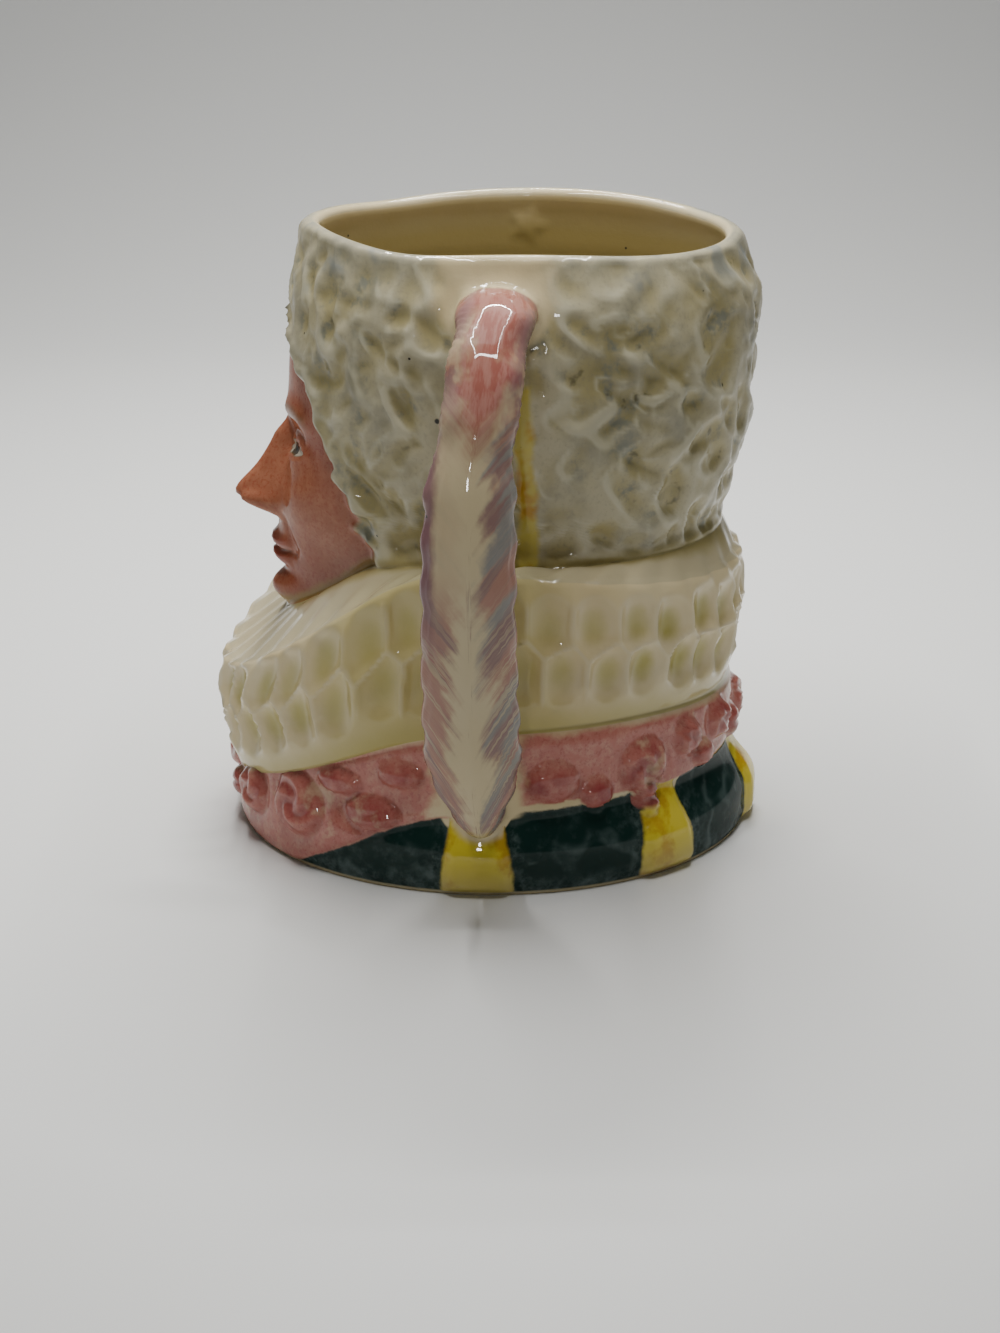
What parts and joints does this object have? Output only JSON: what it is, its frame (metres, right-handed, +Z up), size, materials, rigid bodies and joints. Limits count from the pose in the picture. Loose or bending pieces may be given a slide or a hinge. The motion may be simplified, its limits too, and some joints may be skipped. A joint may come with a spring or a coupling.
{
  "type": "character jug",
  "caption": "Small glazed ceramic character jug: a curl-haired head above a deep pleated ruff and flowered collar, hollow and open at the rim, with a feather-shaped loop handle",
  "frame": {"origin": "centre of the footprint of the whole jug with its handle, on the surface it stands on", "axes": "+Z up, +X towards the handle, -Y the way the face looks"},
  "size_m": [0.1024, 0.0934, 0.1033],
  "materials": {
    "glazed_ceramic": "hand-painted underglaze colours under a clear, glossy glaze"
  },
  "bodies": {
    "root": {"jug": "glazed_ceramic"}
  },
  "joints": []
}
